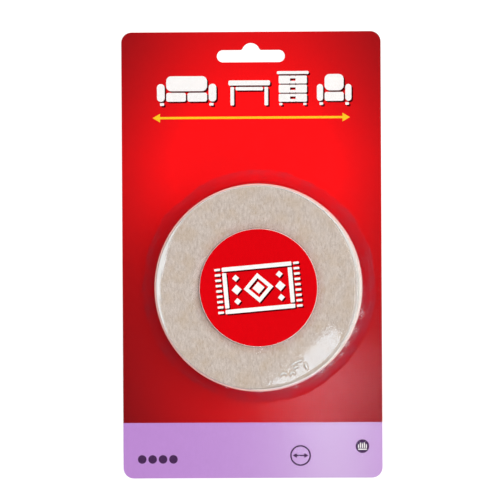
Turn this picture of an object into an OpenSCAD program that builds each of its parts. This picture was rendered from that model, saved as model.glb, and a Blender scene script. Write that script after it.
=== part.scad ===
// Carded skin pack of round furniture sliders for carpets and rugs.
// A printed hang card lies on its back with its face up. The sliders are stacked on it, a round
// label lies on the top slider, and one clear film is drawn down over them and sealed to the card.
// X runs across the card, Y up the card towards the hang slot, Z out of its printed face.
// The origin is the middle of the card's back face. All lengths are in millimetres.

/* [Backing card] */
// Width of the card
card_w = 114.3; // [112:0.1:140]
// Height of the card
card_h = 196.8; // [180:0.1:230]
// Thickness of the board
card_t = 0.6; // [0.4:0.05:1.2]
// Radius of the card's corners
card_corner_r = 4.6; // [1:0.1:12]

/* [Hang slot] */
// Length of the straight slot, round ends included
slot_w = 30; // [24:0.5:36]
// Height of the straight slot
slot_h = 5.4; // [4.4:0.1:7]
// Board left between the card's top edge and the slot's straight upper side
slot_edge = 8; // [6:0.1:16]
// Radius of the round hump over the middle of the slot
hump_r = 4; // [3.5:0.1:5]
// How far the hump rises above the slot's straight upper side
hump_rise = 3.1; // [2:0.1:3.5]
// Radius that blends the hump into the slot
hump_blend_r = 1.2; // [0.6:0.1:2]

/* [Slider] */
// Number of sliders in the stack
slider_count = 4; // [2:1:6]
// Outside diameter of a slider
slider_d = 89; // [70:0.1:92]
// Wall of the moulded dish that glides on the carpet
dish_wall = 1.6; // [1.2:0.1:2]
// Height of the dish, from its glide face to the crown of its rim
dish_h = 5.1; // [4.8:0.1:5.8]
// Radius of the turned-up edge of the glide face
dish_edge_r = 4; // [3:0.1:4.2]
// Thickness of the adhesive film under the pad
bond_t = 0.2; // [0.1:0.05:0.4]
// Thickness of the pad that carries the furniture's foot
pad_t = 4.2; // [3.8:0.1:6]
// Gap between the pad's side and the dish's rim
pad_gap = 0.3; // [0.2:0.05:0.8]
// Radius of the pad's upper edge
pad_edge_r = 1; // [0.4:0.1:1.6]

/* [Place of the stack] */
// Stack's axis to the right of the card's middle
stack_x = 3; // [-4:0.1:4]
// Stack's axis above the card's middle
stack_y = -13.8; // [-30:0.1:10]

/* [Label] */
// Diameter of the round label on the top pad
label_d = 50.8; // [30:0.1:70]
// Thickness of the label's board
label_t = 0.4; // [0.1:0.05:0.8]

/* [Skin film] */
// Thickness of the film
film_t = 0.2; // [0.1:0.05:0.4]
// Clearance between the film and what it is drawn over
film_gap = 0.05; // [0.02:0.01:0.2]
// Ring in which the film comes down from the label to the pad
film_lead = 1.2; // [0.8:0.1:3]
// How far the film's foot stands out from the sliders' sides at the card
web_w = 7.1; // [5:0.1:8]
// Lean of the film where it leaves the top rim, in degrees from upright
web_lean = 12; // [5:1:20]
// Length of the film that keeps this lean before it flares
web_reach = 11; // [6:0.5:14]
// Length of the film's flare that lies close to the card
web_foot = 4; // [2:0.1:5]

/* [Hidden] */
$fn = 96;
// Straight steps in a bend of the film and in its web
BEND_STEPS = 8;
WEB_STEPS = 14;
// Width of the seam where the film's dome joins its flat sheet
FILM_SEAM = 0.6;

slider_r = slider_d / 2;
rim_r = dish_wall / 2;
pad_r = slider_r - dish_wall - pad_gap;
pad_z = dish_wall + bond_t;
slider_t = pad_z + pad_t;
stack_top = card_t + slider_count * slider_t;
slot_y = card_h / 2 - slot_edge - slot_h / 2;
web_foot_r = slider_r + web_w;

SLIDERS = [for (i = [1 : slider_count]) i];
function dish_name(i) = str("glide_dish_", i);
function bond_name(i) = str("bond_film_", i);
function pad_name(i) = str("felt_pad_", i);
SLIDER_NODES = [for (i = SLIDERS) each [dish_name(i), bond_name(i), pad_name(i)]];

// Points along an arc, from one angle to another
function arc(centre, r, from, to) =
    [for (k = [0 : BEND_STEPS]) let (a = from + (to - from) * k / BEND_STEPS)
        centre + r * [cos(a), sin(a)]];

// Points along a cubic curve that starts at a towards b and ends at d from c
function curve(a, b, c, d, steps) =
    [for (k = [0 : steps]) let (t = k / steps, s = 1 - t)
        s * s * s * a + 3 * s * s * t * b + 3 * s * t * t * c + t * t * t * d];

// Angle of the normal to the straight line that is drawn tight over two circles
function belt_angle(c1, r1, c2, r2) =
    let (d = c2 - c1) atan2(d.y, d.x) + acos((r1 - r2) / norm(d));

// Unit normal on the left of a path at point i
function left_normal(path, i) =
    let (d = path[min(i + 1, len(path) - 1)] - path[max(i - 1, 0)]) [-d.y, d.x] / norm(d);

// A path moved to its left, and a path run backwards
function moved_left(path, t) = [for (i = [0 : len(path) - 1]) path[i] + t * left_normal(path, i)];
function reversed(path) = [for (i = [len(path) - 1 : -1 : 0]) path[i]];

// Outline of the card, with round corners
module card_outline() {
    inner_w = card_w - 2 * card_corner_r;
    inner_h = card_h - 2 * card_corner_r;
    square([inner_w, card_h], center = true);
    square([card_w, inner_h], center = true);
    for (x = [-1, 1], y = [-1, 1])
        translate([x * inner_w / 2, y * inner_h / 2]) circle(r = card_corner_r);
}

// Outline of the hang slot: a slot with round ends and a blended hump over its middle
module slot_outline() {
    side_y = slot_h / 2;
    end_x = slot_w / 2 - side_y;
    hump_y = side_y + hump_rise - hump_r;
    blend_y = side_y + hump_blend_r;
    blend_x = sqrt(pow(hump_r + hump_blend_r, 2) - pow(blend_y - hump_y, 2));
    // Where the blend touches the hump
    touch = [blend_x, blend_y - hump_y] * hump_r / (hump_r + hump_blend_r) + [0, hump_y];
    translate([0, slot_y]) {
        square([2 * end_x, slot_h], center = true);
        for (x = [-end_x, end_x]) translate([x, 0]) circle(r = side_y);
        translate([0, hump_y]) circle(r = hump_r);
        difference() {
            polygon([[-blend_x, 0], [blend_x, 0], [blend_x, side_y], touch,
                     [-touch.x, touch.y], [-blend_x, side_y]]);
            for (x = [-blend_x, blend_x]) translate([x, blend_y]) circle(r = hump_blend_r);
        }
    }
}

// Half section of a disc whose lower edge is rounded
module round_heeled(r, h, heel_r) {
    square([r - heel_r, h]);
    translate([0, heel_r]) square([r, h - heel_r]);
    translate([r - heel_r, heel_r])
        intersection() {
            circle(r = heel_r);
            translate([0, -heel_r]) square(heel_r);
        }
}

// Lifts a piece of slider i onto its place in the stack
module in_stack(i) {
    translate([stack_x, stack_y, card_t + (i - 1) * slider_t]) children();
}

// Backing card, printed on its upper face
module hang_card() {
    color("crimson")
    linear_extrude(card_t)
        difference() {
            card_outline();
            slot_outline();
        }
}

// Moulded saucer with a smooth glide face and a round turned-up rim
module glide_dish() {
    wall_h = dish_h - rim_r;
    color("linen")
    rotate_extrude() {
        difference() {
            round_heeled(slider_r, wall_h, dish_edge_r);
            translate([0, dish_wall]) round_heeled(slider_r - dish_wall, wall_h, dish_edge_r - dish_wall);
        }
        translate([slider_r - rim_r, wall_h]) circle(r = rim_r);
    }
}

// Adhesive film between the dish's floor and the pad
module bond_film() {
    color("gainsboro")
    translate([0, 0, dish_wall]) cylinder(r = slider_r - dish_edge_r, h = bond_t);
}

// Felt pad that fills the dish and stands a little proud of its rim
module felt_pad() {
    heel_r = dish_edge_r - dish_wall - max(bond_t, pad_gap);
    color("antiquewhite")
    translate([0, 0, pad_z])
        rotate_extrude() {
            round_heeled(pad_r, pad_t - pad_edge_r, heel_r);
            translate([0, heel_r]) square([pad_r - pad_edge_r, pad_t - heel_r]);
            translate([pad_r - pad_edge_r, pad_t - pad_edge_r]) circle(r = pad_edge_r);
        }
}

// Printed label that lies on the top pad
module round_label() {
    color("red")
    translate([stack_x, stack_y, stack_top]) cylinder(d = label_d, h = label_t);
}

// Clear film: drawn tight over label, pad and top rim, then flared down to the card as a web
module skin_film() {
    label_z = stack_top + label_t + film_gap;
    pad_top = stack_top + film_gap;
    crown = [pad_r - pad_edge_r, stack_top - pad_edge_r];
    crown_r = pad_edge_r + film_gap;
    rim = [slider_r - rim_r, stack_top - slider_t + dish_h - rim_r];
    rim_over_r = rim_r + film_gap;
    bridge = belt_angle(crown, crown_r, rim, rim_over_r);
    leave = rim + rim_over_r * [cos(web_lean), sin(web_lean)];
    foot = [web_foot_r, card_t];
    under = concat(
        [[0, label_z], [label_d / 2, label_z], [label_d / 2 + film_lead, pad_top]],
        arc(crown, crown_r, 90, bridge),
        arc(rim, rim_over_r, bridge, web_lean),
        curve(leave, leave + web_reach * [sin(web_lean), -cos(web_lean)],
              foot - [web_foot, 0], foot, WEB_STEPS),
        [foot + [FILM_SEAM, 0]]
    );
    color("white", 0.3)
    union() {
        translate([stack_x, stack_y, 0])
            rotate_extrude() polygon(concat(under, reversed(moved_left(under, film_t))));
        translate([0, 0, card_t])
            linear_extrude(film_t)
                difference() {
                    card_outline();
                    slot_outline();
                    translate([stack_x, stack_y]) circle(r = web_foot_r + FILM_SEAM / 2);
                }
    }
}

hang_card();
for (i = SLIDERS) {
    in_stack(i) glide_dish();
    in_stack(i) bond_film();
    in_stack(i) felt_pad();
}
round_label();
skin_film();
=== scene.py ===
# %% [markdown]
# # A stack of furniture sliders on a hang card
#
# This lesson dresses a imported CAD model. The object is a shop pack: a printed card lies on its back,
# round carpet sliders are stacked on it, a round label lies on the top one, and one clear film has been
# drawn down over all of it and sealed to the card. The CAD model fixes every size and place. Blender adds
# the finishes, and models the soft and wrinkled pieces again in more detail.

# %% Load the frame
import math
import random

import bmesh
import bpy
from mathutils import Matrix, Vector, kdtree, noise


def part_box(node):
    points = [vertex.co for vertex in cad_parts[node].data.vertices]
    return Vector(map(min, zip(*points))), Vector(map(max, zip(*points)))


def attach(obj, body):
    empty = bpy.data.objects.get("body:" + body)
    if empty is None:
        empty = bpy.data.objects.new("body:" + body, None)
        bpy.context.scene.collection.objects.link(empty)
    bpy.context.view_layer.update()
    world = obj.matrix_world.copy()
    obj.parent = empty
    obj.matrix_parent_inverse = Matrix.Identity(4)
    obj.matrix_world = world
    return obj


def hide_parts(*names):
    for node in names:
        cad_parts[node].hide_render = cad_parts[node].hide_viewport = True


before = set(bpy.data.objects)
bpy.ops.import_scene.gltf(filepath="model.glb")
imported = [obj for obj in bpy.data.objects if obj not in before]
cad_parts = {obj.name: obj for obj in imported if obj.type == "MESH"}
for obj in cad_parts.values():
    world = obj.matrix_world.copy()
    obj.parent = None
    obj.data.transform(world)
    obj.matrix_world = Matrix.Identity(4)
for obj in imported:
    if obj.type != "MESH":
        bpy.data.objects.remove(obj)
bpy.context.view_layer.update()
print("CAD nodes:", ", ".join(sorted(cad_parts)))

# %% [markdown]
# ## Sizes
#
# A piece that is modelled again has to sit where its CAD solid sits. So its sizes are read from the frame
# and not typed a second time. Only what a box can't tell, such as the width of the film's web, is named in
# the step that needs it.

# %% Read the sizes
MM = 0.001

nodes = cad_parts
slider_count = sum(name.startswith("glide_dish_") for name in nodes)
card_low, card_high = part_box("hang_card")
dish_low, dish_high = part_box(f"glide_dish_{slider_count}")
pad_low, pad_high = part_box(f"felt_pad_{slider_count}")
label_low, label_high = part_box("round_label")

card_top = card_high.z
card_w = card_high.x - card_low.x
card_h = card_high.y - card_low.y
slider_r = (dish_high.x - dish_low.x) / 2
pad_r = (pad_high.x - pad_low.x) / 2
label_r = (label_high.x - label_low.x) / 2
axis = Vector(((dish_low.x + dish_high.x) / 2, (dish_low.y + dish_high.y) / 2, 0))
print(f"card {card_w / MM:.1f} x {card_h / MM:.1f} mm, slider radius {slider_r / MM:.2f} mm")

# %% [markdown]
# ## Camera
#
# The photograph was taken with a long lens from almost straight above the card's face. The camera stood a
# little to the right of the card's middle and a little above it, and the card lay a third of a degree out
# of square. A camera with no turn looks straight down, with up the card at the top of the picture, so two
# small tilts aim it and a small roll turns the picture.

# %% Make the camera
camera_rise = 880 * MM
camera_right = 10 * MM
camera_up = 6 * MM
camera_aim = Vector((-0.8 * MM, 2.2 * MM, card_top))
camera_roll = math.radians(-0.30)
sensor_width = 36
focal_length = 143.7

lens = bpy.data.cameras.new("photo_camera")
lens.sensor_width = sensor_width
lens.lens = focal_length
camera = bpy.data.objects.new("photo_camera", lens)
camera.location = camera_aim + Vector((camera_right, camera_up, camera_rise))
tilt_back = math.atan2(camera_up, camera_rise)
tilt_left = math.atan2(camera_right, camera_rise)
camera.rotation_euler = (-tilt_back, tilt_left, camera_roll)
bpy.context.scene.collection.objects.link(camera)
bpy.context.scene.camera = camera
bpy.context.scene.view_settings.view_transform = "Standard"
print("camera at", [round(c, 4) for c in camera.location])

# %% [markdown]
# ## Small helpers
#
# Every piece starts as a bmesh and ends as an object at the origin, and every finish is a node tree.
# These helpers keep the steps below short. `add` makes a node: a socket given to it is linked, and a
# plain value is set on the input.

# %% Helpers for meshes and nodes
def as_object(name, bm, material):
    mesh = bpy.data.meshes.new(name)
    bm.to_mesh(mesh)
    bm.free()
    mesh.materials.append(material)
    made = bpy.data.objects.new(name, mesh)
    bpy.context.scene.collection.objects.link(made)
    return made


def as_piece(name, bm, material):
    piece = as_object(name, bm, material)
    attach(piece, "root")
    return piece


def add(tree, kind, inputs=None, **settings):
    made = tree.nodes.new(kind)
    for name, value in settings.items():
        setattr(made, name, value)
    for name, value in (inputs or {}).items():
        if isinstance(value, bpy.types.NodeSocket):
            tree.links.new(value, made.inputs[name])
        else:
            made.inputs[name].default_value = value
    return made


def maths(tree, operation, first, second=0.0, clamp=False):
    made = add(tree, "ShaderNodeMath", {0: first, 1: second}, operation=operation, use_clamp=clamp)
    return made.outputs[0]


def blend(tree, share, low, high):
    made = add(tree, "ShaderNodeMix", {"Factor": share, "A": low, "B": high}, data_type="RGBA")
    return made.outputs["Result"]


def spread(tree, value, low, high, to_low=0.0, to_high=1.0):
    inputs = {"Value": value, "From Min": low, "From Max": high, "To Min": to_low, "To Max": to_high}
    return add(tree, "ShaderNodeMapRange", inputs, clamp=True).outputs["Result"]


def clamped(value):
    return max(0, min(1, value))


def srgb(red, green, blue):
    shares = [channel / 255 for channel in (red, green, blue)]
    linear = [((share + 0.055) / 1.055) ** 2.4 if share > 0.04 else share / 12.92 for share in shares]
    return (*linear, 1.0)


print("helpers ready; mid grey is", [round(c, 3) for c in srgb(128, 128, 128)])


# %% [markdown]
# A material starts as an empty node tree. Places in it are in millimetres: Object coordinates are in
# metres here, and a pattern is easier to think of in the size of the thing it copies. `surface` ends a
# material, and `principled` ends it with the usual shader.

# %% Start a material
def new_material(name):
    material = bpy.data.materials.new(name)
    material.use_nodes = True
    tree = material.node_tree
    tree.nodes.clear()
    return material, tree


def place_in_mm(tree, centre=Vector((0, 0, 0))):
    where = add(tree, "ShaderNodeTexCoord").outputs["Object"]
    mapping = add(tree, "ShaderNodeMapping", {"Vector": where, "Scale": (1 / MM,) * 3})
    mapping.inputs["Location"].default_value = -centre / MM
    return mapping.outputs["Vector"]


def clouds(tree, place, scale, detail):
    return add(tree, "ShaderNodeTexNoise", {"Vector": place, "Scale": scale, "Detail": detail}).outputs[0]


def surface(tree, shader):
    add(tree, "ShaderNodeOutputMaterial", {"Surface": shader.outputs[0]})


def principled(material, tree, inputs):
    surface(tree, add(tree, "ShaderNodeBsdfPrincipled", inputs))
    return material


print("material helpers ready")

# %% [markdown]
# ## Stage and light
#
# The photograph has a pure white ground and strong, clean colours. A glossy film would turn pale if it
# mirrored a bright ceiling, so the sky here is dark overhead and pale only near the horizon, mostly on
# the right. The strongest lamp is a soft box overhead, which mirrors don't see, for the same reason. Four
# more stand round the pack, far enough to light the whole card alike, and the one on the right is the
# strongest of them. A small box beside the camera lights hardly anything, but the film mirrors it at the
# pack's lower right: sharp on the pad and soft on the sheet.

# %% Floor and sky
floor_size = 6.0
floor_white = 0.62
floor_lift = 0.48

floor_material, tree = new_material("white_floor")
path = add(tree, "ShaderNodeLightPath")
seen = maths(tree, "MAXIMUM", path.outputs["Is Camera Ray"], path.outputs["Is Glossy Ray"])
seen = maths(tree, "MAXIMUM", seen, path.outputs["Is Transmission Ray"])
glow = add(tree, "ShaderNodeEmission", {"Strength": maths(tree, "MULTIPLY", seen, floor_lift)})
paint = add(tree, "ShaderNodeBsdfDiffuse", {"Color": (floor_white, floor_white, floor_white, 1)})
surface(tree, add(tree, "ShaderNodeAddShader", {0: glow.outputs[0], 1: paint.outputs[0]}))

bm = bmesh.new()
bmesh.ops.create_grid(bm, x_segments=1, y_segments=1, size=floor_size)
floor = as_object("floor", bm, floor_material)
floor.location.z = -0.02 * MM

world = bpy.data.worlds.new("studio_sky")
world.use_nodes = True
tree = world.node_tree
tree.nodes.clear()
direction = add(tree, "ShaderNodeTexCoord").outputs["Generated"]
split = add(tree, "ShaderNodeSeparateXYZ", {"Vector": direction}).outputs
rightwards = maths(tree, "SUBTRACT", split["X"], maths(tree, "MULTIPLY", split["Y"], 0.4))
horizon = spread(tree, rightwards, -0.8, 1.0, 0.05, 0.38)
high_up = spread(tree, split["Z"], 0.30, 0.70)
strength = add(tree, "ShaderNodeMix", {"Factor": high_up, "A": horizon, "B": 0.02}).outputs["Result"]
sky = add(tree, "ShaderNodeBackground", {"Color": (0.88, 0.94, 1.0, 1), "Strength": strength})
add(tree, "ShaderNodeOutputWorld", {"Surface": sky.outputs[0]})
bpy.context.scene.world = world
print("floor", floor_size, "m half width, sky dark overhead")


# %% Soft boxes
def soft_box(name, place, aim, width, length, share):
    """An area lamp. A share of 1 alone would make a flat card render as its own colour."""
    lamp = bpy.data.lights.new(name, "AREA")
    lamp.shape = "RECTANGLE"
    lamp.size = width
    lamp.size_y = length
    towards = Vector(aim) - Vector(place)
    cosine = -towards.normalized().z
    lamp.energy = 4 * math.pi * share * towards.length_squared / cosine
    made = bpy.data.objects.new(name, lamp)
    made.location = place
    made.rotation_euler = towards.to_track_quat("-Z", "Y").to_euler()
    bpy.context.scene.collection.objects.link(made)
    return made


stack_middle = axis + Vector((0, 0, 10 * MM))
glare_place = Vector((0.0596, -0.1375, 1.057))
glare_below = Vector((glare_place.x, glare_place.y, 0))
glare_turn = math.radians(-47.7)
glare_colour = (0.68, 0.85, 1.0)

overhead = soft_box("overhead_box", (0, 0.05, 1.60), stack_middle, 1.2, 1.2, 0.43)
overhead.visible_glossy = False
soft_box("right_box", (1.10, 0.20, 1.50), stack_middle, 1.0, 1.5, 0.27)
soft_box("left_box", (-0.98, 0.05, 1.50), stack_middle, 0.45, 1.4, 0.07)
soft_box("top_box", (0.05, 0.80, 1.50), stack_middle, 1.4, 0.8, 0.11)
soft_box("low_box", (0.60, -1.00, 1.50), stack_middle, 1.3, 0.9, 0.07)
glare = soft_box("glare_box", glare_place, glare_below, 0.080, 0.088, 0.0125)
glare.rotation_euler = (0, 0, glare_turn)
glare.data.color = glare_colour


# %% [markdown]
# ## Fibre streaks
#
# Felt, card and label paper are all made of fibres that lie mostly one way. One node group draws them:
# noise that is squeezed across the fibres and stretched along them, with the contrast raised. Each
# material sets how many fibres there are to a millimetre.

# %% Group: fibre streaks
def fibre_group():
    group = bpy.data.node_groups.new("fibre_streaks", "ShaderNodeTree")
    group.interface.new_socket("Place", in_out="INPUT", socket_type="NodeSocketVector")
    for name in ("Across", "Along", "Softness"):
        group.interface.new_socket(name, in_out="INPUT", socket_type="NodeSocketFloat")
    group.interface.new_socket("Mask", in_out="OUTPUT", socket_type="NodeSocketFloat")
    given = add(group, "NodeGroupInput").outputs
    counts = {"X": given["Across"], "Y": given["Along"], "Z": given["Along"]}
    scale = add(group, "ShaderNodeCombineXYZ", counts).outputs[0]
    squeezed = add(group, "ShaderNodeVectorMath", {0: given["Place"], 1: scale}, operation="MULTIPLY")
    streak = add(group, "ShaderNodeTexNoise", {"Vector": squeezed.outputs[0], "Scale": 1.0, "Detail": 4.0})
    low = maths(group, "SUBTRACT", 0.5, given["Softness"])
    high = maths(group, "ADD", 0.5, given["Softness"])
    add(group, "NodeGroupOutput", {"Mask": spread(group, streak.outputs[0], low, high)})
    return group


FIBRES = fibre_group()


def fibre_mask(tree, place, across, along, softness=0.2):
    inputs = {"Place": place, "Across": across, "Along": along, "Softness": softness}
    return add(tree, "ShaderNodeGroup", inputs, node_tree=FIBRES).outputs["Mask"]


print("group", FIBRES.name, "has", len(FIBRES.nodes), "nodes")

# %% [markdown]
# ## The card's print
#
# The face is one printed sheet: red that glows in the upper middle and darkens to the edges, with a lilac
# band along the bottom. Towards the right the band is paled by a painted reflection, the film's glare
# painted into its colour. The glow needs no image: it fades quickly across the card and slowly along it,
# its middle is as red as the ink gets, and low on the card it leans to the right. Under the face the board
# is pale and fibrous, and it shows on the cut edges and the back.

# %% Card material
glow_middle = Vector((1.0, 40.0))
glow_lean = 0.05
lean_below = 10.0
glow_across = 63.5
glow_up = 62.0
glow_down = 95.0
glow_curve = 1.6
glow_peak = 1.38
band_top = -73.9
painted_glare_middle = 36.0
painted_glare_reach = 26.0
painted_glare_most = 0.29
print_depth = 0.05


def squared(tree, value, middle, reach):
    shifted = maths(tree, "DIVIDE", maths(tree, "SUBTRACT", value, middle), reach)
    return maths(tree, "MULTIPLY", shifted, shifted)


def card_material():
    material, tree = new_material("printed_card")
    place = place_in_mm(tree)
    split = add(tree, "ShaderNodeSeparateXYZ", {"Vector": place}).outputs
    grain = fibre_mask(tree, place, 1.4, 0.5)
    below = maths(tree, "MAXIMUM", maths(tree, "SUBTRACT", lean_below, split["Y"]), 0.0)
    lean = maths(tree, "MULTIPLY", below, glow_lean)
    across = squared(tree, maths(tree, "SUBTRACT", split["X"], lean), glow_middle.x, glow_across)
    rise = maths(tree, "SUBTRACT", split["Y"], glow_middle.y)
    upwards = maths(tree, "DIVIDE", rise, glow_up)
    downwards = maths(tree, "DIVIDE", rise, -glow_down)
    along = maths(tree, "POWER", maths(tree, "MAXIMUM", upwards, downwards), glow_curve)
    fade = maths(tree, "EXPONENT", maths(tree, "MULTIPLY", across, -1.0))
    fade = maths(tree, "DIVIDE", fade, maths(tree, "ADD", along, 1.0))
    glow = maths(tree, "MINIMUM", maths(tree, "MULTIPLY", fade, glow_peak), 1.0)
    strength = maths(tree, "MULTIPLY", glow, spread(tree, grain, 0.0, 1.0, 0.985, 1.015))
    red = blend(tree, strength, (0.0, 0.0062, 0.0084, 1), (1.0, 0.0062, 0.0084, 1))
    lilac = blend(tree, grain, srgb(186, 134, 206), srgb(190, 138, 210))
    # Painted reflection: the band pales towards the right as if the film's glare lay on it
    from_painted_glare = squared(tree, split["X"], painted_glare_middle, painted_glare_reach)
    pale = maths(tree, "DIVIDE", painted_glare_most, maths(tree, "ADD", from_painted_glare, 1.0))
    lilac = blend(tree, pale, lilac, srgb(250, 244, 252))
    in_band = maths(tree, "LESS_THAN", split["Y"], band_top)
    face = blend(tree, in_band, red, lilac)
    board = blend(tree, grain, srgb(214, 208, 198), srgb(236, 232, 225))
    on_face = maths(tree, "GREATER_THAN", split["Z"], card_top / MM - print_depth)
    relief = add(tree, "ShaderNodeBump", {"Height": grain, "Strength": 0.15, "Distance": 0.02 * MM})
    return principled(material, tree, {
        "Base Color": blend(tree, on_face, board, face),
        "Roughness": spread(tree, grain, 0.0, 1.0, 0.55, 0.7),
        "Specular IOR Level": 0.0,
        "Normal": relief.outputs[0],
    })


def dress(name, material):
    mesh = nodes[name].data
    mesh.materials.clear()
    mesh.materials.append(material)


dress("hang_card", card_material())
print("card printed, band", round(card_h / MM / 2 + band_top, 1), "mm tall")

# %% [markdown]
# ## Moulded dishes
#
# Each slider's dish is one injection moulding in off-white plastic. Its CAD shape is right already, so it
# keeps its mesh and only needs a finish: a warm white with faint flow marks and a satin gloss. The
# adhesive that bonds the pad to it keeps its mesh too, and shows the streaks of the comb that spread it.

# %% Dish material
def dish_material():
    material, tree = new_material("moulded_plastic")
    place = place_in_mm(tree)
    flow = clouds(tree, place, 0.12, 3.0)
    fine = clouds(tree, place, 4.0, 2.0)
    relief = add(tree, "ShaderNodeBump", {"Height": fine, "Strength": 0.2, "Distance": 0.01 * MM})
    return principled(material, tree, {
        "Base Color": blend(tree, flow, srgb(234, 228, 218), srgb(247, 243, 236)),
        "Roughness": spread(tree, fine, 0.3, 0.7, 0.42, 0.55),
        "Specular IOR Level": 0.25,
        "Normal": relief.outputs[0],
    })


def bond_material():
    material, tree = new_material("dried_adhesive")
    place = place_in_mm(tree)
    comb = fibre_mask(tree, place, 0.8, 0.1)
    relief = add(tree, "ShaderNodeBump", {"Height": comb, "Strength": 0.5, "Distance": 0.05 * MM})
    return principled(material, tree, {
        "Base Color": blend(tree, comb, srgb(214, 210, 198), srgb(232, 229, 220)),
        "Roughness": spread(tree, comb, 0.0, 1.0, 0.4, 0.6),
        "Normal": relief.outputs[0],
    })


plastic = dish_material()
adhesive = bond_material()
for number in range(1, slider_count + 1):
    dress(f"glide_dish_{number}", plastic)
    dress(f"bond_film_{number}", adhesive)
print("finished", slider_count, "dishes and their adhesive")

# %% [markdown]
# ## Felt pads
#
# The pad is dense oatmeal felt, cut round with softened edges. The film presses it, so its upper edge
# swells over the dish's rim into a thin lip that reaches further out in some places than in others. Its
# half section is a wire with bevelled corners. Spin turns it into a round disc, a short list pulls the
# lip to its uneven outline, and small moves of its points give the pressed surface that real felt has.
# Cloth simulation suits sewn cushions, but stiff felt without a seam would only come back as the flat
# disc.

# %% Felt material
def felt_material():
    material, tree = new_material("oatmeal_felt")
    place = place_in_mm(tree)
    tufts = fibre_mask(tree, place, 1.5, 0.55, 0.2)
    hairs = fibre_mask(tree, place, 4.2, 1.5, 0.18)
    clumps = clouds(tree, place, 0.16, 3.0)
    wool = add(tree, "ShaderNodeMix", {"Factor": 0.4, "A": tufts, "B": hairs}).outputs["Result"]
    tone = blend(tree, wool, srgb(178, 161, 148), srgb(220, 209, 201))
    warm = spread(tree, clumps, 0.44, 0.66, 0.0, 0.4)
    tone = blend(tree, warm, tone, srgb(195, 172, 146))
    flecks = spread(tree, fibre_mask(tree, place, 2.2, 0.8, 0.5), 0.64, 0.72, 0.0, 0.45)
    tone = blend(tree, flecks, tone, srgb(168, 140, 109))
    relief = add(tree, "ShaderNodeBump", {"Height": wool, "Strength": 0.6, "Distance": 0.1 * MM})
    return principled(material, tree, {
        "Base Color": tone,
        "Roughness": spread(tree, wool, 0.0, 1.0, 0.85, 0.98),
        "Sheen Weight": 0.15,
        "Specular IOR Level": 0.1,
        "Normal": relief.outputs[0],
    })


felt = felt_material()
print("felt material has", len(felt.node_tree.nodes), "nodes")

# %% Tools for turned sections
def wire(bm, points):
    made = [bm.verts.new(point) for point in points]
    for first, second in zip(made, made[1:]):
        bm.edges.new((first, second))
    return made


def round_corners(bm, corners, size, segments, kind="OFFSET"):
    bmesh.ops.bevel(bm, geom=corners, offset=size, offset_type=kind, segments=segments, profile=0.5,
                    affect="VERTICES", material=-1)


def split_long(bm, longest, inner=0.0, outer=1.0):
    for edge in bm.edges[:]:
        cuts = int(edge.calc_length() / longest)
        middle = sum((vert.co for vert in edge.verts), Vector()) / 2 - axis
        if cuts and inner < middle.xy.length < outer:
            bmesh.ops.subdivide_edges(bm, edges=[edge], cuts=cuts)


def spin_round(bm, steps):
    whole = bm.verts[:] + bm.edges[:]
    bmesh.ops.spin(bm, geom=whole, cent=axis, axis=(0, 0, 1), angle=math.tau, steps=steps, use_merge=True)
    bmesh.ops.remove_doubles(bm, verts=bm.verts[:], dist=0.001 * MM)
    bmesh.ops.recalc_face_normals(bm, faces=bm.faces[:])
    bm.normal_update()


print("sections turn round an axis at", [round(c / MM, 2) for c in axis.xy], "mm")

# %% Outline of the lip
lip_r = pad_r + 0.6 * MM
flat_r = 38.0 * MM
slope_from = 41.4 * MM
# Each row has a turn in degrees, then in millimetres the lip's radius, the width of the slope inside it
# and the radius where painted light on the film over it begins, and last how strong that painted light is
lip_outline = (
    (-180, 44.0, 0.2, 42.0, 0.64),
    (-165, 44.0, 0.2, 42.9, 0.65),
    (-150, 44.0, 0.2, 43.5, 0.55),
    (-100, 43.8, 0.3, 43.5, 0.40),
    (-80, 43.6, 0.9, 43.5, 0.0),
    (-60, 43.5, 1.2, 43.0, 0.0),
    (-45, 43.4, 1.1, 42.6, 0.10),
    (-30, 43.0, 0.9, 42.2, 0.25),
    (-15, 42.6, 0.9, 41.8, 0.25),
    (0, 42.3, 1.0, 41.6, 0.15),
    (20, 42.4, 0.7, 42.0, 0.30),
    (45, 43.0, 0.4, 42.6, 0.25),
    (90, 43.9, 0.2, 43.4, 0.60),
    (125, 44.0, 0.2, 43.4, 0.55),
    (142, 44.0, 0.2, 43.2, 0.45),
    (152, 44.0, 0.2, 42.4, 0.45),
    (165, 44.0, 0.2, 41.4, 0.58),
    (180, 44.0, 0.2, 42.0, 0.64),
)


def lip_at(out):
    turn = math.degrees(math.atan2(out.y, out.x))
    for (low, *before), (high, *after) in zip(lip_outline, lip_outline[1:]):
        if low <= turn <= high:
            share = (turn - low) / (high - low)
            share = share * share * (3 - 2 * share)
            lip, slope, white_from, white = [a + (b - a) * share for a, b in zip(before, after)]
            return lip * MM, slope * MM, white_from * MM, white


def follow_lip(place):
    """The move that takes a point of a round pad, or of the film on it, to the pad's uneven outline."""
    out = place - axis
    radius = out.xy.length
    lip, slope = lip_at(out)[:2]
    stops = ((flat_r, flat_r), (slope_from, lip - slope), (lip_r, lip), (slider_r, slider_r))
    for (low, to_low), (high, to_high) in zip(stops, stops[1:]):
        if low < radius < high:
            moved = to_low + (to_high - to_low) * (radius - low) / (high - low)
            return Vector((*out.xy.normalized(), 0)) * (moved - radius)
    return Vector((0, 0, 0))


lip_radii = [row[1] for row in lip_outline]
print("the lip's radius goes from", min(lip_radii), "to", max(lip_radii), "mm")

# %% Felt meshes
heel_r = 2.1 * MM
crown_r = 0.3 * MM
felt_dip = 0.05 * MM
dip_bias = 0.4
dip_sizes = (2.5 * MM, 0.9 * MM)
felt_swell = 0.26 * MM
lip_clear = 0.03 * MM
lip_fade = 0.3 * MM
lip_t = 0.15 * MM
ring_step = 0.9 * MM
pad_steps = 256
rim_from_pad_top = pad_high.z - dish_high.z


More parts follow.
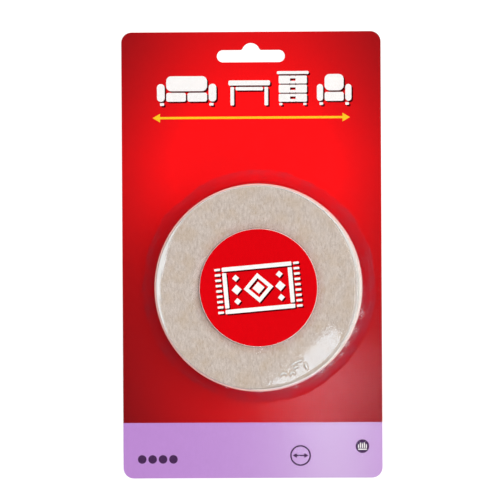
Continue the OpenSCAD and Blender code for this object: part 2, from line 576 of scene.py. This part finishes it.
def felt_pad(number):
    low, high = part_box(f"felt_pad_{number}")
    bm = bmesh.new()
    edge_r = pad_r + felt_swell
    lip_z = high.z - rim_from_pad_top + lip_clear
    corners = wire(bm, [axis + Vector((r, 0, z)) for r, z in (
        (0, low.z),
        (edge_r, low.z),
        (edge_r, lip_z),
        (lip_r, lip_z),
        (lip_r, lip_z + lip_t),
        (slope_from, high.z),
        (0, high.z),
    )])
    round_corners(bm, [corners[1]], heel_r, 6)
    round_corners(bm, [corners[2]], lip_t, 3)
    round_corners(bm, [corners[4]], lip_t / 2, 3)
    round_corners(bm, [corners[5]], crown_r, 6)
    split_long(bm, ring_step)
    spin_round(bm, pad_steps)
    for vert in bm.verts:
        coarse, fine = [noise.noise(vert.co / size) for size in dip_sizes]
        vert.co += vert.normal * min(0, coarse + fine / 2 - dip_bias) * felt_dip
        above_rim = clamped((vert.co.z - lip_z) / lip_fade + 1)
        vert.co += follow_lip(vert.co) * above_rim
    for face in bm.faces:
        face.smooth = True
    pad = as_piece(f"felt_{number}", bm, felt)
    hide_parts(f"felt_pad_{number}")
    return pad


pads = [felt_pad(number) for number in range(1, slider_count + 1)]
print("felt pads:", [(pad.name, len(pad.data.polygons)) for pad in pads])

# %% [markdown]
# ## Round label
#
# The label is a disc of coated paper. Its print stops just short of the cut, so a thin white ring shows.
# Paper curls across its grain, and this disc has lifted a little at the lower left: it stays flat up to a
# straight line, and beyond that line it rises with the square of the distance. A spun wire makes the
# disc, because it has rings of points that can bend.

# %% Label material
label_margin = 0.22


def label_material():
    material, tree = new_material("printed_label")
    place = place_in_mm(tree, axis)
    split = add(tree, "ShaderNodeSeparateXYZ", {"Vector": place}).outputs
    flat = add(tree, "ShaderNodeCombineXYZ", {"X": split["X"], "Y": split["Y"]}).outputs[0]
    distance = add(tree, "ShaderNodeVectorMath", {0: flat}, operation="LENGTH").outputs["Value"]
    grain = fibre_mask(tree, place, 1.4, 0.5)
    red = blend(tree, grain, (0.71, 0.0010, 0.0042, 1), (0.745, 0.0013, 0.0050, 1))
    paper = blend(tree, grain, srgb(236, 214, 208), srgb(248, 236, 232))
    inside = maths(tree, "LESS_THAN", distance, label_r / MM - label_margin)
    relief = add(tree, "ShaderNodeBump", {"Height": grain, "Strength": 0.1, "Distance": 0.02 * MM})
    return principled(material, tree, {
        "Base Color": blend(tree, inside, paper, red),
        "Roughness": spread(tree, grain, 0.0, 1.0, 0.5, 0.62),
        "Specular IOR Level": 0.0,
        "Normal": relief.outputs[0],
    })


def paper_material():
    material, tree = new_material("label_paper")
    place = place_in_mm(tree)
    grain = fibre_mask(tree, place, 1.4, 0.5)
    return principled(material, tree, {
        "Base Color": blend(tree, grain, srgb(226, 214, 208), srgb(240, 232, 228)),
        "Roughness": spread(tree, grain, 0.0, 1.0, 0.7, 0.85),
        "Specular IOR Level": 0.1,
    })


print("the label's print stops", label_margin, "mm short of the cut")

# %% Label mesh
curl_from = 6.0 * MM
curl_rise = 1.5 * MM
curl_lead = 0.8 * MM
curl_towards = Vector((-0.906, -0.423, 0)).normalized()
label_ring_step = 0.8 * MM
label_steps = 192


def label_curl(place):
    out = (place - axis).dot(curl_towards) - curl_from
    return curl_rise * (max(0, out) / (label_r - curl_from)) ** 2


bm = bmesh.new()
wire(bm, [axis + Vector((r, 0, z)) for r, z in (
    (0, label_low.z),
    (label_r, label_low.z),
    (label_r, label_high.z),
    (0, label_high.z),
)])
split_long(bm, label_ring_step)
spin_round(bm, label_steps)
for vert in bm.verts:
    vert.co.z += label_curl(vert.co)
bm.normal_update()
for face in bm.faces:
    face.smooth = abs(face.normal.z) > 0.5
    face.material_index = 0 if face.normal.z > 0.5 else 1
label = as_piece("label_disc", bm, label_material())
label.data.materials.append(paper_material())
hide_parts("round_label")
print("label radius", round(label_r / MM, 2), "mm, with", len(label.data.polygons), "faces")

# %% [markdown]
# ## Printed signs
#
# The card tells its use in plain signs: a row of furniture over a long arrow, a rug on the label, and
# four discs, a width mark and a pile mark in the lilac band. An image on the card would blur when seen
# from near, so each sign is a set of flat plates, drawn in millimetres, and a modifier gives it the
# thickness of a screen print.

# %% Inks
def ink_material(name, colour, faded):
    material, tree = new_material(name)
    place = place_in_mm(tree)
    cover = fibre_mask(tree, place, 2.0, 1.2)
    return principled(material, tree, {
        "Base Color": blend(tree, cover, faded, colour),
        "Roughness": spread(tree, cover, 0.0, 1.0, 0.5, 0.6),
        "Specular IOR Level": 0.0,
    })


white_ink = ink_material("white_ink", srgb(252, 250, 248), srgb(246, 240, 236))
yellow_ink = ink_material("yellow_ink", srgb(252, 206, 44), srgb(247, 194, 36))
plum_ink = ink_material("plum_ink", srgb(70, 40, 80), srgb(80, 50, 90))
shade_ink = ink_material("shade_ink", srgb(74, 4, 8), srgb(84, 6, 10))
print("inks:", [m.name for m in (white_ink, yellow_ink, plum_ink, shade_ink)])


# %% Plates, discs and arrows
ink_t = 0.012 * MM


def plate(bm, left, bottom, right, top, corner=0.5):
    move = Matrix.Translation(((left + right) / 2, (bottom + top) / 2, 0))
    size = Matrix.Diagonal((right - left, top - bottom, 1, 1))
    made = bmesh.ops.create_grid(bm, x_segments=1, y_segments=1, size=0.5, matrix=move @ size)
    if corner:
        round_corners(bm, made["verts"], corner, 5)


def pair(bm, left, bottom, right, top, corner=0.5):
    plate(bm, left, bottom, right, top, corner)
    plate(bm, -right, bottom, -left, top, corner)


def disc(bm, x, y, radius, sides=40, turn=0.0):
    move = Matrix.Translation((x, y, 0)) @ Matrix.Rotation(turn, 4, "Z")
    bmesh.ops.create_circle(bm, cap_ends=True, segments=sides, radius=radius, matrix=move)


def ring(bm, x, y, outer, inner, sides=64):
    move = Matrix.Translation((x, y, 0))
    edges = []
    for radius in (outer, inner):
        made = bmesh.ops.create_circle(bm, segments=sides, radius=radius, matrix=move)
        edges += dict.fromkeys(edge for vert in made["verts"] for edge in vert.link_edges)
    bmesh.ops.bridge_loops(bm, edges=edges)


def double_arrow(bm, reach, head, shaft):
    plate(bm, head * 1.5 - reach, -shaft / 2, reach - head * 1.5, shaft / 2, 0)
    disc(bm, reach - head, 0, head, sides=3, turn=math.radians(-90))
    disc(bm, head - reach, 0, head, sides=3, turn=math.radians(90))


def printed(name, draw, ink, x, y, base, turn=0.0, lift=None):
    bm = bmesh.new()
    draw(bm)
    bmesh.ops.reverse_faces(bm, faces=[face for face in bm.faces if face.normal.z < 0])
    move = Matrix.Translation((x * MM, y * MM, base)) @ Matrix.Rotation(turn, 4, "Z")
    bmesh.ops.transform(bm, matrix=move @ Matrix.Scale(MM, 4), verts=bm.verts[:])
    for vert in bm.verts:
        vert.co.z += lift(vert.co) if lift else 0
    made = as_piece(name, bm, ink)
    layer = made.modifiers.new("ink_layer", "SOLIDIFY")
    layer.thickness = ink_t
    layer.offset = 1.0
    return made


print("ink layer", ink_t / MM, "mm")


# %% Furniture row
def sofa(bm, half=9.0):
    plate(bm, -half, 6.4, half, 13.0, 2.2)
    pair(bm, 0.35, 1.8, half, 5.7, 0.9)
    pair(bm, half + 0.7, 1.8, half + 4.1, 9.6, 1.6)
    pair(bm, half + 1.0, 0.0, half + 2.8, 1.2, 0.3)


def armchair(bm):
    plate(bm, -4.2, 6.4, 4.2, 13.6, 2.2)
    plate(bm, -4.2, 1.8, 4.2, 5.7, 0.9)
    pair(bm, 4.9, 1.8, 7.6, 9.2, 1.3)
    pair(bm, 4.9, 0.0, 6.5, 1.2, 0.3)


def table(bm):
    plate(bm, -9.2, 8.8, 9.2, 11.0, 0.7)
    plate(bm, -6.0, 6.6, 6.0, 8.1, 0.4)
    pair(bm, 6.7, 0.0, 8.3, 8.1, 0.4)


def drawers(bm):
    plate(bm, -7.0, 13.7, 7.0, 15.0, 0.5)
    for floor_y in (1.5, 5.5, 9.5):
        pair(bm, 1.2, floor_y, 6.2, floor_y + 3.5, 0.5)
        plate(bm, -1.2, floor_y, 1.2, floor_y + 1.2, 0.1)
        plate(bm, -1.2, floor_y + 2.3, 1.2, floor_y + 3.5, 0.1)
    pair(bm, 4.6, 0.0, 6.0, 1.0, 0.3)


def furniture_row(bm):
    for draw, x in ((sofa, -28.4), (table, -0.8), (drawers, 18.4), (armchair, 36.6)):
        held = len(bm.verts)
        draw(bm)
        bmesh.ops.translate(bm, vec=(x, 0, 0), verts=list(bm.verts)[held:])


row_y = 66.0
printed("print_furniture_shade", furniture_row, shade_ink, 0.7, row_y - 0.7, card_top)
printed("print_furniture", furniture_row, white_ink, 0, row_y, card_top + ink_t)
printed("print_arrow", lambda bm: double_arrow(bm, 43.5, 2.2, 1.0), yellow_ink, 0, 60.6, card_top)
print("furniture row at", row_y, "mm above the card's middle")


# %% Rug on the label
def rug(bm):
    plate(bm, -15.0, -10.0, 15.0, -8.2, 0.4)
    plate(bm, -15.0, 8.2, 15.0, 10.0, 0.4)
    pair(bm, 13.2, -7.6, 15.0, 7.6, 0.4)
    ring(bm, 0, 0, 6.4, 4.2, sides=4)
    disc(bm, 0, 0, 2.6, sides=4)
    for side in (-1, 1):
        disc(bm, side * 9.4, 0, 2.2, sides=4)
        for across in (-1, 1):
            disc(bm, side * 9.4, across * 5.0, 1.5, sides=4)
    for number in range(9):
        y = -9.2 + 2.3 * number
        pair(bm, 15.7, y - 0.5, 18.2, y + 0.5, 0.3)


rug_turn = math.radians(5)
label_x = axis.x / MM
label_y = axis.y / MM
printed("print_rug_shade", rug, shade_ink, label_x + 0.6, label_y - 0.6, label_high.z, rug_turn,
        label_curl)
printed("print_rug", rug, white_ink, label_x, label_y, label_high.z + ink_t, rug_turn, label_curl)
print("rug sign turned", round(math.degrees(rug_turn)), "degrees")


# %% Signs in the band
def count_discs(bm):
    for number in range(slider_count):
        disc(bm, 4.6 * (number - (slider_count - 1) / 2), 0, 1.9)


def width_mark(bm):
    ring(bm, 0, 0, 4.6, 3.9)
    double_arrow(bm, 3.5, 1.25, 0.6)


def pile_mark(bm):
    plate(bm, -1.9, -1.6, 1.9, -1.1, 0.1)
    for number, top in enumerate((0.8, 1.6, 1.2, 1.7, 0.9)):
        x = 0.85 * (number - 2)
        plate(bm, x - 0.22, -0.8, x + 0.22, top, 0.15)


band_y = -90.0
printed("print_count", count_discs, plum_ink, -42.0, band_y, card_top)
printed("print_width", width_mark, plum_ink, 21.0, band_y + 1.5, card_top)
printed("print_roundel", lambda bm: disc(bm, 0, 0, 3.0), plum_ink, 48.3, -84.5, card_top)
printed("print_pile", pile_mark, white_ink, 48.3, -84.5, card_top + ink_t)
print("band signs at", band_y, "mm")

# %% [markdown]
# ## Skin film
#
# The film is the piece that makes the pack. It was softened by heat, laid over the stack and sucked down:
# it lies tight on the label, the pad and the top rim, hangs from the rim as a steep web, spreads into a
# skirt near the card and is sealed there.
#
# Its finish has three layers. The first is a clear sheet with a faint tint, darkened further as painted
# shade where the mesh marks it. Glass would bend the light, which costs time and can't be seen in so thin
# a sheet, so a transparent shader is enough. The second is a mirror coat on the outer face, which is weak
# where the film is seen straight on. The third is milk: film turns milky where it was bent or stretched
# hard. The same layer also carries painted light: painted highlights on the folds and along the rim,
# painted glints on the crinkles, painted light on the web towards the lower right and on film that bridges
# to the rim, and a painted red glow beside the label. Attributes of the mesh say where each goes.

# %% Film zones
web_top = dish_high.z


def mark(tree, name):
    return add(tree, "ShaderNodeAttribute", attribute_name=name).outputs["Fac"]


def film_zones(tree):
    """The masks and patterns that the film's layers share."""
    place = place_in_mm(tree)
    split = add(tree, "ShaderNodeSeparateXYZ", {"Vector": place}).outputs
    from_above = add(tree, "ShaderNodeCombineXYZ", {"X": split["X"], "Y": split["Y"]}).outputs[0]
    card_z = card_top / MM
    rim_z = web_top / MM
    below_rim = spread(tree, split["Z"], rim_z - 0.6, rim_z - 0.1, 1.0, 0.0)
    off_card = spread(tree, split["Z"], card_z + 0.1, card_z + 0.5)
    return {
        "place": place,
        "drawn": spread(tree, split["Z"], card_z + 0.2, card_z + 1.2),
        "web": maths(tree, "MULTIPLY", below_rim, off_card),
        "patches": clouds(tree, place, 0.16, 3.0),
        "grain": clouds(tree, from_above, 2.1, 1.0),
        "crinkled": mark(tree, "crinkle"),
    }


print("the film's web hangs", round((web_top - card_top) / MM, 2), "mm from the rim to the card")


# %% Clear sheet and mirror coat
def film_tint(tree, zone):
    uneven = spread(tree, zone["patches"], 0.40, 0.62)
    tint = blend(tree, uneven, (0.972, 0.968, 0.974, 1), (0.935, 0.937, 0.947, 1))
    tint = blend(tree, zone["web"], (0.99, 0.99, 0.99, 1), tint)
    # Painted shade: where the mesh marks it, the film is darkened
    return blend(tree, mark(tree, "painted_shade"), tint, (0.84, 0.83, 0.81, 1))


def film_coat(tree, zone):
    ripple = clouds(tree, zone["place"], 0.3, 2.0)
    relief = add(tree, "ShaderNodeBump", {"Height": ripple, "Strength": 0.12, "Distance": 0.05 * MM})
    creases = maths(tree, "MULTIPLY", zone["grain"], zone["crinkled"])
    creased = {"Height": creases, "Distance": 0.5 * MM, "Normal": relief.outputs[0]}
    relief = add(tree, "ShaderNodeBump", creased)
    sheet_rough = spread(tree, zone["drawn"], 0.0, 1.0, 0.10, 0.035)
    web_rough = spread(tree, zone["web"], 0.0, 1.0, 0.0, 0.18)
    return add(tree, "ShaderNodeBsdfPrincipled", {
        "Base Color": (1.0, 1.0, 1.0, 1),
        "Metallic": 1.0,
        "Roughness": maths(tree, "ADD", sheet_rough, web_rough),
        "Normal": relief.outputs[0],
    })


def coat_share(tree, zone):
    """Fresnel's share on the outer face, less of it on the flat sheet, and patches of it on the web."""
    mirror = add(tree, "ShaderNodeFresnel", {"IOR": 1.5}).outputs[0]
    behind = add(tree, "ShaderNodeNewGeometry").outputs["Backfacing"]
    share = maths(tree, "MULTIPLY", mirror, maths(tree, "SUBTRACT", 1.0, behind))
    share = maths(tree, "MULTIPLY", share, spread(tree, zone["drawn"], 0.0, 1.0, 0.48, 1.0))
    patchy = spread(tree, zone["patches"], 0.42, 0.60, 0.06, 0.30)
    patchy = maths(tree, "MAXIMUM", patchy, maths(tree, "MULTIPLY", zone["crinkled"], 0.2))
    on_web = add(tree, "ShaderNodeMix", {"Factor": zone["web"], "A": 1.0, "B": patchy})
    return maths(tree, "MULTIPLY", share, on_web.outputs["Result"])


print("sheet and coat ready")


# %% Milk with painted light in it, and the whole film
def film_milk_and_painted_light(tree, zone):
    """The share of the milky layer with the painted light in it, and its colour. A later mark in the list
    covers an earlier one.
    """
    uneven = spread(tree, zone["patches"], 0.35, 0.65, 0.6, 1.4)
    haze_and_painted_light = maths(tree, "MULTIPLY", mark(tree, "haze_and_painted_light"), uneven)
    haze_and_painted_light = maths(tree, "MULTIPLY", haze_and_painted_light, zone["web"])
    # Painted glints: small bright specks on the crinkles
    painted_glints = maths(tree, "MULTIPLY", zone["crinkled"], spread(tree, zone["grain"], 0.54, 0.61, 0.0, 0.95))
    crease_white_and_painted_light = mark(tree, "crease_white_and_painted_light")
    painted_rim_highlight = mark(tree, "painted_rim_highlight")
    painted_label_glow = mark(tree, "painted_label_glow")
    colour = blend(tree, spread(tree, haze_and_painted_light, 0.015, 0.06), (0.6, 0.6, 1.0, 1), (1.0, 0.64, 0.78, 1))
    for value, low, high, milk_and_painted_light in (
        (painted_glints, 0.0, 0.08, (1.0, 0.70, 0.74, 1)),
        (crease_white_and_painted_light, 0.0, 0.08, (0.97, 0.96, 0.94, 1)),
        (painted_rim_highlight, 0.08, 0.40, (1.0, 0.60, 0.54, 1)),
        (painted_label_glow, 0.0, 0.02, (0.50, 0.03, 0.03, 1)),
    ):
        colour = blend(tree, spread(tree, value, low, high), colour, milk_and_painted_light)
    share = maths(tree, "ADD", haze_and_painted_light, painted_glints)
    share = maths(tree, "ADD", share, maths(tree, "MAXIMUM", crease_white_and_painted_light, painted_rim_highlight))
    return maths(tree, "ADD", share, painted_label_glow, clamp=True), colour


def film_material():
    material, tree = new_material("clear_film")
    zone = film_zones(tree)
    clear = add(tree, "ShaderNodeBsdfTransparent", {"Color": film_tint(tree, zone)})
    coat = film_coat(tree, zone)
    mirrored = coat_share(tree, zone)
    sheet = add(tree, "ShaderNodeMixShader", {0: mirrored, 1: clear.outputs[0], 2: coat.outputs[0]})
    haze_and_painted_light, colour = film_milk_and_painted_light(tree, zone)
    milk_and_painted_light = add(tree, "ShaderNodeBsdfDiffuse", {"Color": colour})
    surface(tree, add(tree, "ShaderNodeMixShader", {0: haze_and_painted_light, 1: sheet.outputs[0], 2: milk_and_painted_light.outputs[0]}))
    return material


film = film_material()
print("film material has", len(film.node_tree.nodes), "nodes")

# %% [markdown]
# The film's half section is a wire with a few corners. Each corner gets its own bevel, and the bevel
# between web and skirt is a share of its two edges, because the web is the longer of them. The wire is
# spun in two parts: in fine steps from the bottom round to the right, where crinkles and folds will come,
# and in plain steps elsewhere. Last, the film follows the lip of the top pad.

# %% Film section
film_t = 0.12 * MM
film_gap = 0.06 * MM
film_lead = 0.3 * MM
edge_clear = 0.08 * MM
web_w = 7.1 * MM
skirt_w = 5.1 * MM
skirt_h = 4.2 * MM
skirt_percent = 60
sheet_z = card_top + 0.05 * MM
fold_zone = 32.5 * MM
far_out = 1.0
# The longest edge in millimetres, and the radii between which it holds
film_steps = (
    (2.5, curl_from, label_r),
    (0.15, label_r, label_r + 2 * curl_lead),
    (0.45, fold_zone, slider_r),
    (1.2, slider_r, far_out),
    (5.0, 0.0, far_out),
)


def film_half_section(bm):
    over_label = label_high.z + film_gap
    over_pad = pad_high.z + film_gap
    over_lip = dish_high.z + lip_clear + lip_t + film_gap
    over_rim = slider_r + film_gap
    foot = slider_r + web_w
    corners = wire(bm, [axis + Vector((r, 0, z)) for r, z in (
        (0, over_label),
        (label_r - 0.2 * MM, over_label),
        (label_r + edge_clear, over_label),
        (label_r + film_lead, over_pad),
        (label_r + 2 * film_lead, over_pad),
        (fold_zone, over_pad),
        (slope_from, over_pad),
        (lip_r + 0.1 * MM, over_lip),
        (over_rim, dish_high.z + edge_clear),
        (foot - skirt_w, sheet_z + skirt_h),
        (foot, sheet_z),
    )])
    round_corners(bm, [corners[2]], 0.1 * MM, 2)
    round_corners(bm, [corners[3]], 0.15 * MM, 2)
    round_corners(bm, [corners[6]], crown_r, 5)
    round_corners(bm, [corners[7]], 0.3 * MM, 3)
    round_corners(bm, [corners[8]], 0.2 * MM, 5)
    round_corners(bm, [corners[9]], skirt_percent, 38, "PERCENT")
    for longest, inner, outer in film_steps:
        split_long(bm, longest * MM, inner, outer)


bm = bmesh.new()
film_half_section(bm)
print("film's half section has", len(bm.verts), "points")

# %% Film dome
fine_from = math.radians(-120)
fine_turn = math.radians(150)
fine_steps = 300
plain_steps = 100

bmesh.ops.rotate(bm, cent=axis, matrix=Matrix.Rotation(fine_from, 3, "Z"), verts=bm.verts[:])
last = bm.verts[:] + bm.edges[:]
for turn, steps in ((fine_turn, fine_steps), (math.tau - fine_turn, plain_steps)):
    made = bmesh.ops.spin(bm, geom=last, cent=axis, axis=(0, 0, 1), angle=turn, steps=steps)
    last = made["geom_last"]
bmesh.ops.remove_doubles(bm, verts=bm.verts[:], dist=0.001 * MM)
bmesh.ops.recalc_face_normals(bm, faces=bm.faces[:])
for vert in bm.verts:
    vert.co += follow_lip(vert.co)
bm.normal_update()
foot_ring = [edge for edge in bm.edges if edge.is_boundary]
print("film dome has", len(bm.faces), "faces and a foot ring of", len(foot_ring), "edges")

# %% [markdown]
# A real skin film is never quite smooth. Where it hangs free it has faint upright pleats, beside the rim
# at the lower right it gathered into small crinkles, and on the pad a few short folds were caught. All
# three are moves along the surface's normals, so they catch the light as the real ones do. A cloth
# simulation would fold it as cloth folds, but this is a sheet that cooled in its shape.
#
# Bent film also looks different, so each step leaves marks for the film's material, some of them painted
# light and shade: `haze_and_painted_light` is haze on the web with painted light added towards the lower
# right, `crinkle` marks the crinkles, where painted glints go, `crease_white_and_painted_light` is a
# fold's white crest with a painted highlight, and painted light on film that bridges from felt to rim,
# `painted_rim_highlight` is a painted highlight along the rim, `painted_label_glow` is a painted red glow
# beside the label, and `painted_shade` is painted shade beside the upper rim, in the web's upper corners
# and beside each fold.

# %% Marks and points near the folds
# Both ends of a fold from the middle of the pad, and how far it bulges aside, in millimetres
folds = (
    ((13.8, -33.4), (18.6, -31.1), 0.2),
    ((15.0, -34.9), (16.6, -33.9), 0.2),
    ((9.4, -37.8), (11.9, -37.4), 0.9),
    ((13.4, -37.6), (15.6, -37.0), 1.0),
    ((20.1, -32.6), (20.8, -34.8), -0.3),
)
fold_reach = 2.5 * MM


def on_pad(x, y):
    return axis + Vector((x * MM, y * MM, pad_high.z + film_gap))


fold_ends = [on_pad(*end) for fold in folds for end in fold[:2]]
near_folds = [
    edge for edge in bm.edges
    if any((edge.verts[0].co - end).length < fold_reach for end in fold_ends)
]
bmesh.ops.subdivide_edges(bm, edges=near_folds, cuts=1, use_grid_fill=True)
bm.normal_update()
bm.verts.ensure_lookup_table()
finder = kdtree.KDTree(len(bm.verts))
for vert in bm.verts:
    finder.insert(vert.co, vert.index)
finder.balance()
mark_names = ("haze_and_painted_light", "crinkle", "crease_white_and_painted_light", "painted_rim_highlight", "painted_label_glow", "painted_shade")
haze_and_painted_light, crinkle, crease_white_and_painted_light, painted_rim_highlight, painted_label_glow, painted_shade = [
    bm.verts.layers.float.new(name) for name in mark_names
]
lifts = {}
print("film has", len(bm.verts), "points after", len(near_folds), "edges near the folds were halved")

# %% Pleats, haze, painted light and painted shade of the web
pleat_rise = 0.30 * MM
pleats_round = 14
foot_wander = 1.1 * MM
wanders_round = 4
right_and_up = Vector((0.97, 0.26, 0)).normalized()
right_and_down = Vector((0.57, -0.82, 0)).normalized()
haze_all_round = 0.007
painted_light_rightwards = 0.002
painted_light_lean = 0.55
painted_light_at_corner = 0.012
corner_focus = 8
corner_at_foot = 0.15
corner_climb = 1.5
painted_light_near_rim = 0.095
rim_focus = 6
rim_climb = 2.5
shade_at_sides = 0.4
shade_upwards = 0.8
shade_from = 0.35
shade_soft = 0.3
corner_shade = 0.35
foot_fade = 0.04

web = [vert for vert in bm.verts if vert.co.z < web_top - 0.5 * MM]
for vert in web:
    out = Vector((*(vert.co - axis).xy.normalized(), 0))
    climb = (vert.co.z - sheet_z) / (web_top - sheet_z)
    wave = noise.noise(out * pleats_round + Vector((0, 0, climb))) * 4 * climb * (1 - climb)
    lifts[vert.index] = pleat_rise * wave
    # Haze all round, with painted light added on the side that faces the lamps at the lower right
    lit = max(0, out.dot(right_and_down))
    vert[haze_and_painted_light] = (haze_all_round
                   + painted_light_rightwards * max(0, 1 - painted_light_lean + painted_light_lean * out.dot(right_and_up))
                   + painted_light_at_corner * lit**corner_focus * min(1, corner_at_foot + corner_climb * climb)
                   + painted_light_near_rim * lit**rim_focus * min(1, rim_climb * climb))
    # Painted shade: darker film beside the upper half of the rim and in the web's two upper corners
    on_upper_side = clamped(shade_at_sides + shade_upwards * out.y)
    painted_shade_beside_rim = on_upper_side * clamped((climb - shade_from) / shade_soft)
    painted_shade_in_corners = corner_shade * max(0, 2 * abs(out.x) * out.y) * min(1, climb / foot_fade)
    vert[painted_shade] = max(painted_shade_beside_rim, painted_shade_in_corners)
    wander = noise.noise(out * wanders_round) + noise.noise(out * pleats_round) / 3
    vert.co += out * foot_wander * wander * (1 - climb) ** 3
print("web has", len(web), "points, and the haze reaches", round(max(vert[haze_and_painted_light] for vert in web), 3))

# %% Crinkles beside the rim
crinkle_turns = (-15, -25, -33, -38, -48, -55, -70, -89, -107)
crinkle_rise = 0.25 * MM
crinkle_grain = 0.80 * MM
crinkle_width = 1.7 * MM
crinkle_middle = slider_r + 1.5 * MM
crinkle_depth = 1.3 * MM
crinkle_least = 0.01
rng = random.Random(11)

crinkles = []
for turn in crinkle_turns:
    middle_r = crinkle_middle + rng.uniform(-0.7, 0.9) * MM
    crinkles.append((math.radians(turn + rng.uniform(-2, 2)), rng.uniform(0.5, 1.3), middle_r))
for vert in web:
    out = (vert.co - axis).xy
    for turn, size, middle_r in crinkles:
        off_middle = (out.length - middle_r) / (size * crinkle_depth)
        across = out.length * (math.atan2(out.y, out.x) - turn) / (size * crinkle_width)
        fall = math.exp(-(across**2) - off_middle**2)
        if fall > crinkle_least:
            crest = max(0, 1 - 3 * abs(noise.noise(vert.co / crinkle_grain)))
            lifts[vert.index] += crinkle_rise * crest * fall
            vert[crinkle] = max(vert[crinkle], fall)
print(len(crinkles), "crinkles mark", sum(vert[crinkle] > 0 for vert in web), "points")

# %% Folds on the pad
fold_width = 0.4 * MM
fold_rise = 0.25 * MM
fold_white_and_highlight = 0.7
fold_steps = 16
fold_at_ends = 0.3

for start, end, bulge in folds:
    first, final = on_pad(*start), on_pad(*end)
    aside = Vector((first.y - final.y, final.x - first.x, 0)).normalized()
    ridge, painted_fold_shade = {}, {}
    for step in range(fold_steps + 1):
        t = step / fold_steps
        middle = first.lerp(final, t) + aside * bulge * MM * 4 * t * (1 - t)
        height = min(1, 6 * t * (1 - t) + fold_at_ends)
        for found, point in ((ridge, middle), (painted_fold_shade, middle - aside * fold_width)):
            for _, index, distance in finder.find_range(point, 3 * fold_width):
                crest = math.exp(-((distance / fold_width) ** 2)) * height
                found[index] = max(found.get(index, 0), crest)
    # A fold's crest rises and gets a white mark that is partly painted highlight; the strip beside it gets
    # painted shade
    for index, crest in ridge.items():
        lifts[index] = lifts.get(index, 0) + fold_rise * crest
        bm.verts[index][crease_white_and_painted_light] = max(bm.verts[index][crease_white_and_painted_light], fold_white_and_highlight * crest**2)
    for index, crest in painted_fold_shade.items():
        bm.verts[index][painted_shade] = max(bm.verts[index][painted_shade], crest**3)
print(len(folds), "folds, each at most", round(fold_rise / MM, 2), "mm high")

# %% Painted light at the rim and beside the label, the label's curl, and all moves
bridge_soft = 0.4 * MM
rim_highlight_w = 0.4 * MM
rim_highlight_r = slider_r - 0.15 * MM
rim_highlight_pull = 0.3 * MM
rim_highlight_white = 0.9
rim_highlight_dim_below = 0.35
rim_highlight_dim_right = 0.45
painted_glow_red = 0.22
painted_glow_reach = 0.45 * MM

for vert in bm.verts:
    out = vert.co - axis
    radius = out.xy.length
    white_from, white = lip_at(out)[2:]
    if vert.co.z > web_top - rim_highlight_w:
        # Painted light on film that bridges from felt to rim, as strong as the lip's outline gives
        vert[crease_white_and_painted_light] = max(vert[crease_white_and_painted_light], white * clamped((radius - white_from) / bridge_soft))
        # Painted highlight: a bright pink-white line along the rim, weaker below and on the right
        from_highlight = radius - rim_highlight_r + rim_highlight_pull * max(0, out.x) / slider_r
        in_light = 1 - (rim_highlight_dim_below * max(0, -out.y) + rim_highlight_dim_right * max(0, out.x)) / slider_r
        vert[painted_rim_highlight] = rim_highlight_white * in_light * math.exp(-((from_highlight / rim_highlight_w) ** 2))
    beyond = radius - label_r
    # Painted red glow on the film just outside the label's edge
    if beyond > 0:
        vert[painted_label_glow] = painted_glow_red * math.exp(-beyond / painted_glow_reach)
    if beyond < curl_lead:
        vert.co.z += label_curl(vert.co) * (1 - max(0, beyond / curl_lead)) ** 2

for index, rise in lifts.items():
    bm.verts[index].co += bm.verts[index].normal * rise
print("moved", len(lifts), "points of the film, most by", round(max(lifts.values()) / MM, 2), "mm")

# %% [markdown]
# The flat part has the card's own outline, hang slot included. The quickest true outline is the CAD
# card's: a copy of its mesh is merged, only the edges of its top face are kept, and a fill joins them to
# the dome's foot.

# %% Film sheet
card_copy = bmesh.new()
card_copy.from_mesh(nodes["hang_card"].data)
bmesh.ops.remove_doubles(card_copy, verts=card_copy.verts[:], dist=0.001 * MM)
side_faces = [face for face in card_copy.faces if face.normal.z < 0.5]
bmesh.ops.delete(card_copy, geom=side_faces, context="FACES")
outline = [edge for edge in card_copy.edges if edge.is_boundary]
sheet_corners = {}
for vert in [vert for edge in outline for vert in edge.verts]:
    if vert not in sheet_corners:
        sheet_corners[vert] = bm.verts.new((vert.co.x, vert.co.y, sheet_z))
outline_edges = [bm.edges.new([sheet_corners[vert] for vert in edge.verts]) for edge in outline]
card_copy.free()
bmesh.ops.triangle_fill(bm, edges=outline_edges + foot_ring, use_beauty=True)
bmesh.ops.recalc_face_normals(bm, faces=bm.faces[:])
if sum(face.normal.z * face.calc_area() for face in bm.faces) < 0:
    bmesh.ops.reverse_faces(bm, faces=bm.faces[:])
bm.normal_update()
print("film sheet joined:", len(outline_edges), "outline edges, open edges",
      sum(edge.is_boundary for edge in bm.edges))

# %% Film piece
for face in bm.faces:
    face.smooth = True
for edge in outline_edges + foot_ring:
    edge.smooth = False
skin = as_piece("drawn_film", bm, film)
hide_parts("skin_film")
wall = skin.modifiers.new("film_thickness", "SOLIDIFY")
wall.thickness = film_t
wall.offset = 1.0
print("film piece has", len(skin.data.polygons), "faces before its thickness")

# %% [markdown]
# ## Finish
#
# The last step brings the scene up to date.

# %% Finish
bpy.context.view_layer.update()
